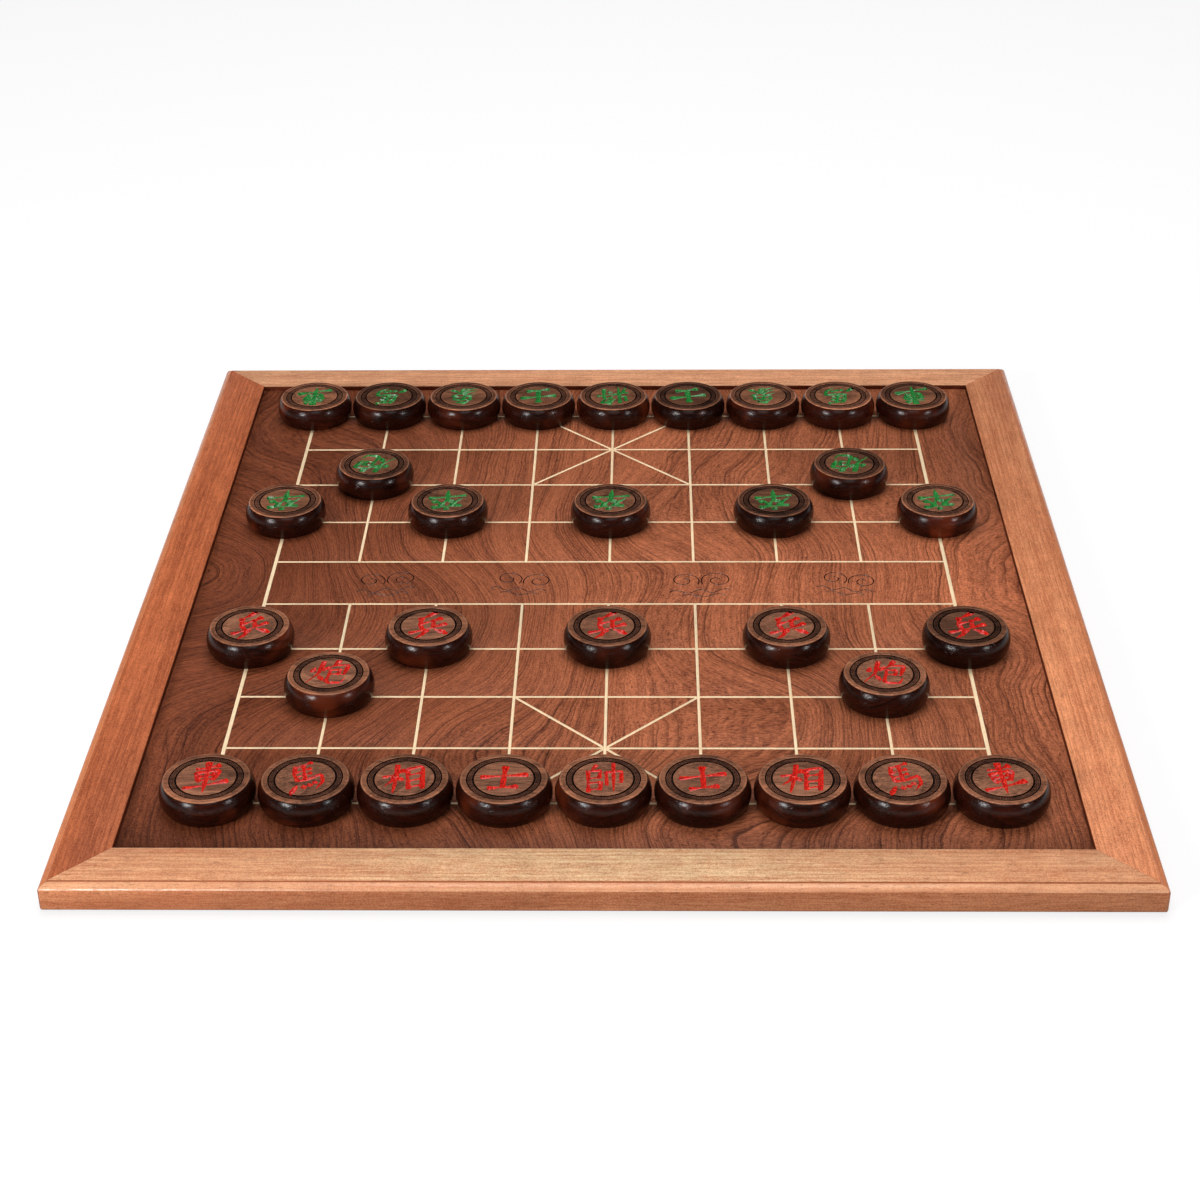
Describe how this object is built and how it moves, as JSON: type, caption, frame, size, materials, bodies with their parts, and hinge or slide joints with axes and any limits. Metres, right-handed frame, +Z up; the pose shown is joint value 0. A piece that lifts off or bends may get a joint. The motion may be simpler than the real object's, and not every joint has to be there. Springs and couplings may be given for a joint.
{
  "type": "xiangqi board with pieces",
  "caption": "Flat wooden xiangqi board with a mitred frame, recessed figured panel and inlaid lines, set up with turned and carved round pieces.",
  "frame": {"origin": "middle of the board in plan, at the height of the surface that the foot pads stand on", "axes": "+X to the right of the red player, +Y from the red side to the green side, +Z up"},
  "size_m": [0.56, 0.6144, 0.0298],
  "materials": {
    "frame_wood": "satin oiled",
    "panel_wood": "satin oiled",
    "inlay_wood": "satin",
    "spline_wood": "unfinished",
    "batten_wood": "unfinished",
    "pad_felt": "felt",
    "piece_wood": "polished"
  },
  "bodies": {
    "board": {"front_rail": "frame_wood", "back_rail": "frame_wood", "left_rail": "frame_wood", "right_rail": "frame_wood", "playing_panel": "panel_wood", "file_strips": "inlay_wood", "rank_strips": "inlay_wood", "palace_strips": "inlay_wood", "front_left_spline": "spline_wood", "front_right_spline": "spline_wood", "back_left_spline": "spline_wood", "back_right_spline": "spline_wood", "front_batten": "batten_wood", "back_batten": "batten_wood", "front_left_pad": "pad_felt", "front_right_pad": "pad_felt", "back_left_pad": "pad_felt", "back_right_pad": "pad_felt"},
    "red_chariot_left": {"red_chariot_left": "piece_wood"},
    "red_horse_left": {"red_horse_left": "piece_wood"},
    "red_elephant_left": {"red_elephant_left": "piece_wood"},
    "red_advisor_left": {"red_advisor_left": "piece_wood"},
    "red_general": {"red_general": "piece_wood"},
    "red_advisor_right": {"red_advisor_right": "piece_wood"},
    "red_elephant_right": {"red_elephant_right": "piece_wood"},
    "red_horse_right": {"red_horse_right": "piece_wood"},
    "red_chariot_right": {"red_chariot_right": "piece_wood"},
    "red_cannon_left": {"red_cannon_left": "piece_wood"},
    "red_cannon_right": {"red_cannon_right": "piece_wood"},
    "red_soldier_1": {"red_soldier_1": "piece_wood"},
    "red_soldier_2": {"red_soldier_2": "piece_wood"},
    "red_soldier_3": {"red_soldier_3": "piece_wood"},
    "red_soldier_4": {"red_soldier_4": "piece_wood"},
    "red_soldier_5": {"red_soldier_5": "piece_wood"},
    "green_chariot_left": {"green_chariot_left": "piece_wood"},
    "green_horse_left": {"green_horse_left": "piece_wood"},
    "green_elephant_left": {"green_elephant_left": "piece_wood"},
    "green_advisor_left": {"green_advisor_left": "piece_wood"},
    "green_general": {"green_general": "piece_wood"},
    "green_advisor_right": {"green_advisor_right": "piece_wood"},
    "green_elephant_right": {"green_elephant_right": "piece_wood"},
    "green_horse_right": {"green_horse_right": "piece_wood"},
    "green_chariot_right": {"green_chariot_right": "piece_wood"},
    "green_cannon_left": {"green_cannon_left": "piece_wood"},
    "green_cannon_right": {"green_cannon_right": "piece_wood"},
    "green_soldier_1": {"green_soldier_1": "piece_wood"},
    "green_soldier_2": {"green_soldier_2": "piece_wood"},
    "green_soldier_3": {"green_soldier_3": "piece_wood"},
    "green_soldier_4": {"green_soldier_4": "piece_wood"},
    "green_soldier_5": {"green_soldier_5": "piece_wood"}
  },
  "joints": [
    {"name": "red_chariot_left_lift", "type": "slide", "parent": "board", "child": "red_chariot_left", "axis": [0, 0, 1], "range_m": [0, 0.05]},
    {"name": "red_horse_left_lift", "type": "slide", "parent": "board", "child": "red_horse_left", "axis": [0, 0, 1], "range_m": [0, 0.05]},
    {"name": "red_elephant_left_lift", "type": "slide", "parent": "board", "child": "red_elephant_left", "axis": [0, 0, 1], "range_m": [0, 0.05]},
    {"name": "red_advisor_left_lift", "type": "slide", "parent": "board", "child": "red_advisor_left", "axis": [0, 0, 1], "range_m": [0, 0.05]},
    {"name": "red_general_lift", "type": "slide", "parent": "board", "child": "red_general", "axis": [0, 0, 1], "range_m": [0, 0.05]},
    {"name": "red_advisor_right_lift", "type": "slide", "parent": "board", "child": "red_advisor_right", "axis": [0, 0, 1], "range_m": [0, 0.05]},
    {"name": "red_elephant_right_lift", "type": "slide", "parent": "board", "child": "red_elephant_right", "axis": [0, 0, 1], "range_m": [0, 0.05]},
    {"name": "red_horse_right_lift", "type": "slide", "parent": "board", "child": "red_horse_right", "axis": [0, 0, 1], "range_m": [0, 0.05]},
    {"name": "red_chariot_right_lift", "type": "slide", "parent": "board", "child": "red_chariot_right", "axis": [0, 0, 1], "range_m": [0, 0.05]},
    {"name": "red_cannon_left_lift", "type": "slide", "parent": "board", "child": "red_cannon_left", "axis": [0, 0, 1], "range_m": [0, 0.05]},
    {"name": "red_cannon_right_lift", "type": "slide", "parent": "board", "child": "red_cannon_right", "axis": [0, 0, 1], "range_m": [0, 0.05]},
    {"name": "red_soldier_1_lift", "type": "slide", "parent": "board", "child": "red_soldier_1", "axis": [0, 0, 1], "range_m": [0, 0.05]},
    {"name": "red_soldier_2_lift", "type": "slide", "parent": "board", "child": "red_soldier_2", "axis": [0, 0, 1], "range_m": [0, 0.05]},
    {"name": "red_soldier_3_lift", "type": "slide", "parent": "board", "child": "red_soldier_3", "axis": [0, 0, 1], "range_m": [0, 0.05]},
    {"name": "red_soldier_4_lift", "type": "slide", "parent": "board", "child": "red_soldier_4", "axis": [0, 0, 1], "range_m": [0, 0.05]},
    {"name": "red_soldier_5_lift", "type": "slide", "parent": "board", "child": "red_soldier_5", "axis": [0, 0, 1], "range_m": [0, 0.05]},
    {"name": "green_chariot_left_lift", "type": "slide", "parent": "board", "child": "green_chariot_left", "axis": [0, 0, 1], "range_m": [0, 0.05]},
    {"name": "green_horse_left_lift", "type": "slide", "parent": "board", "child": "green_horse_left", "axis": [0, 0, 1], "range_m": [0, 0.05]},
    {"name": "green_elephant_left_lift", "type": "slide", "parent": "board", "child": "green_elephant_left", "axis": [0, 0, 1], "range_m": [0, 0.05]},
    {"name": "green_advisor_left_lift", "type": "slide", "parent": "board", "child": "green_advisor_left", "axis": [0, 0, 1], "range_m": [0, 0.05]},
    {"name": "green_general_lift", "type": "slide", "parent": "board", "child": "green_general", "axis": [0, 0, 1], "range_m": [0, 0.05]},
    {"name": "green_advisor_right_lift", "type": "slide", "parent": "board", "child": "green_advisor_right", "axis": [0, 0, 1], "range_m": [0, 0.05]},
    {"name": "green_elephant_right_lift", "type": "slide", "parent": "board", "child": "green_elephant_right", "axis": [0, 0, 1], "range_m": [0, 0.05]},
    {"name": "green_horse_right_lift", "type": "slide", "parent": "board", "child": "green_horse_right", "axis": [0, 0, 1], "range_m": [0, 0.05]},
    {"name": "green_chariot_right_lift", "type": "slide", "parent": "board", "child": "green_chariot_right", "axis": [0, 0, 1], "range_m": [0, 0.05]},
    {"name": "green_cannon_left_lift", "type": "slide", "parent": "board", "child": "green_cannon_left", "axis": [0, 0, 1], "range_m": [0, 0.05]},
    {"name": "green_cannon_right_lift", "type": "slide", "parent": "board", "child": "green_cannon_right", "axis": [0, 0, 1], "range_m": [0, 0.05]},
    {"name": "green_soldier_1_lift", "type": "slide", "parent": "board", "child": "green_soldier_1", "axis": [0, 0, 1], "range_m": [0, 0.05]},
    {"name": "green_soldier_2_lift", "type": "slide", "parent": "board", "child": "green_soldier_2", "axis": [0, 0, 1], "range_m": [0, 0.05]},
    {"name": "green_soldier_3_lift", "type": "slide", "parent": "board", "child": "green_soldier_3", "axis": [0, 0, 1], "range_m": [0, 0.05]},
    {"name": "green_soldier_4_lift", "type": "slide", "parent": "board", "child": "green_soldier_4", "axis": [0, 0, 1], "range_m": [0, 0.05]},
    {"name": "green_soldier_5_lift", "type": "slide", "parent": "board", "child": "green_soldier_5", "axis": [0, 0, 1], "range_m": [0, 0.05]}
  ]
}
